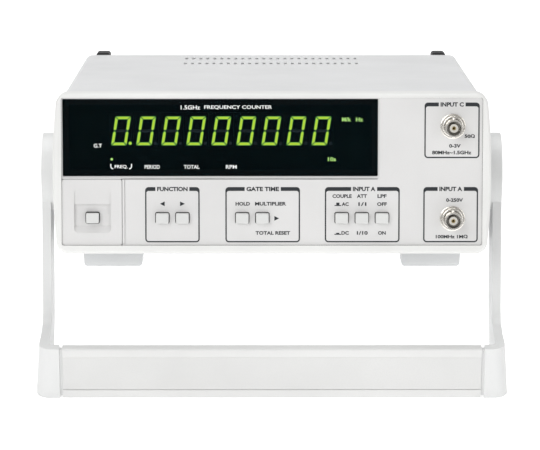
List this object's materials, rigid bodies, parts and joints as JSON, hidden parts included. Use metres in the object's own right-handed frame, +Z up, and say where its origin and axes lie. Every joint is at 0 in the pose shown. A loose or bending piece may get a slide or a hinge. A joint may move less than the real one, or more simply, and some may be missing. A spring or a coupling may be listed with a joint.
{
  "type": "frequency counter",
  "caption": "Bench frequency counter: sheet-metal case with a moulded front, smoked digit window, push buttons, coaxial input jacks and a swinging handle that doubles as its stand.",
  "frame": {"origin": "on the bench, at the centre of the object's box as it stands leaning back on its handle", "axes": "+X to the right of the front panel, +Y from the front to the back, +Z up"},
  "size_m": [0.272, 0.3248, 0.1706],
  "materials": {
    "bezel_plastic": "fine moulded texture, satin off-white",
    "panel_plastic": "smooth matt off-white",
    "cover_paint": "fine textured light grey powder paint",
    "window_smoke": "smoked glossy",
    "digit_resin": "dark moulded block with diffusing segments",
    "lamp_green": "diffusing green lamp",
    "mask_black": "dead matt black",
    "button_plastic": "satin light grey",
    "nickel": "nickel plated, lightly brushed",
    "insulator": "white",
    "contact": "gold flashed",
    "foot_plastic": "grey, matt",
    "post_rubber": "black, matt",
    "inlet_plastic": "black, satin",
    "plated_steel": "zinc plated",
    "board": "green solder mask",
    "lamination": "varnished laminations",
    "coil_tape": "yellow tape",
    "capacitor_sleeve": "blue shrink sleeve",
    "sink_aluminium": "black anodised",
    "chip_resin": "black moulded",
    "handle_plastic": "satin light grey moulding",
    "grip_plastic": "satin off-white extrusion",
    "strip_plastic": "matt strip"
  },
  "bodies": {
    "case": {"front_bezel": "bezel_plastic", "front_panel": "panel_plastic", "power_panel": "panel_plastic", "display_window": "window_smoke", "top_cover": "cover_paint", "bottom_cover": "cover_paint", "rear_panel": "cover_paint", "side_frame_right": "plated_steel", "side_frame_left": "plated_steel", "switch_board": "board", "display_board": "board", "display_mask": "mask_black", "led_digits": "digit_resin", "legend_lamps": "lamp_green", "key_switches": "mask_black", "power_switch": "mask_black", "input_a_shell": "nickel", "input_a_nut": "nickel", "input_a_insulator": "insulator", "input_a_contact": "contact", "input_c_shell": "nickel", "input_c_nut": "nickel", "input_c_insulator": "insulator", "input_c_contact": "contact", "front_feet": "foot_plastic", "rear_feet": "foot_plastic", "foot_screws": "plated_steel", "cord_posts": "post_rubber", "cord_post_screws": "plated_steel", "mains_inlet": "inlet_plastic", "inlet_pins": "nickel", "cover_screws": "plated_steel", "main_board": "board", "board_standoffs": "nickel", "transformer_core": "lamination", "transformer_winding": "coil_tape", "filter_capacitors": "capacitor_sleeve", "heat_sink": "sink_aluminium", "voltage_regulators": "chip_resin", "crystal_oscillator": "plated_steel", "input_a_shield": "plated_steel", "prescaler_shield": "plated_steel", "logic_chips": "chip_resin", "handle_hubs": "handle_plastic", "hub_screws": "plated_steel"},
    "handle": {"handle_arm_right": "handle_plastic", "handle_arm_left": "handle_plastic", "handle_grip": "grip_plastic", "grip_insert": "strip_plastic", "grip_screws": "plated_steel", "hub_caps": "grip_plastic"},
    "fuse_drawer_body": {"fuse_drawer": "inlet_plastic"},
    "function_left_key": {"function_left_button": "button_plastic"},
    "function_right_key": {"function_right_button": "button_plastic"},
    "gate_hold_key": {"gate_hold_button": "button_plastic"},
    "gate_multiplier_key": {"gate_multiplier_button": "button_plastic"},
    "coupling_key": {"coupling_button": "button_plastic"},
    "attenuator_key": {"attenuator_button": "button_plastic"},
    "low_pass_key": {"low_pass_button": "button_plastic"},
    "power_key": {"power_button": "button_plastic"}
  },
  "joints": [
    {"name": "handle_swing", "type": "hinge", "parent": "case", "child": "handle", "pos_m": [0, -0.08393, 0.10889], "axis": [1, 0, 0], "range_deg": [-210, 80]},
    {"name": "function_left_press", "type": "slide", "parent": "case", "child": "function_left_key", "axis": [0, 0.9591, -0.2832], "range_m": [0, 0.0015], "stiffness_N_per_m": 300, "springref_m": -0.0015},
    {"name": "function_right_press", "type": "slide", "parent": "case", "child": "function_right_key", "axis": [0, 0.9591, -0.2832], "range_m": [0, 0.0015], "stiffness_N_per_m": 300, "springref_m": -0.0015},
    {"name": "gate_hold_press", "type": "slide", "parent": "case", "child": "gate_hold_key", "axis": [0, 0.9591, -0.2832], "range_m": [0, 0.0015], "stiffness_N_per_m": 300, "springref_m": -0.0015},
    {"name": "gate_multiplier_press", "type": "slide", "parent": "case", "child": "gate_multiplier_key", "axis": [0, 0.9591, -0.2832], "range_m": [0, 0.0015], "stiffness_N_per_m": 300, "springref_m": -0.0015},
    {"name": "coupling_press", "type": "slide", "parent": "case", "child": "coupling_key", "axis": [0, 0.9591, -0.2832], "range_m": [0, 0.0025], "stiffness_N_per_m": 300, "springref_m": -0.0015},
    {"name": "attenuator_press", "type": "slide", "parent": "case", "child": "attenuator_key", "axis": [0, 0.9591, -0.2832], "range_m": [0, 0.0025], "stiffness_N_per_m": 300, "springref_m": -0.0015},
    {"name": "low_pass_press", "type": "slide", "parent": "case", "child": "low_pass_key", "axis": [0, 0.9591, -0.2832], "range_m": [0, 0.0025], "stiffness_N_per_m": 300, "springref_m": -0.0015},
    {"name": "power_press", "type": "slide", "parent": "case", "child": "power_key", "axis": [0, 0.9591, -0.2832], "range_m": [0, 0.0025], "stiffness_N_per_m": 300, "springref_m": -0.0015},
    {"name": "fuse_drawer_pull", "type": "slide", "parent": "case", "child": "fuse_drawer_body", "axis": [0, 0.9591, -0.2832], "range_m": [0, 0.02]}
  ]
}
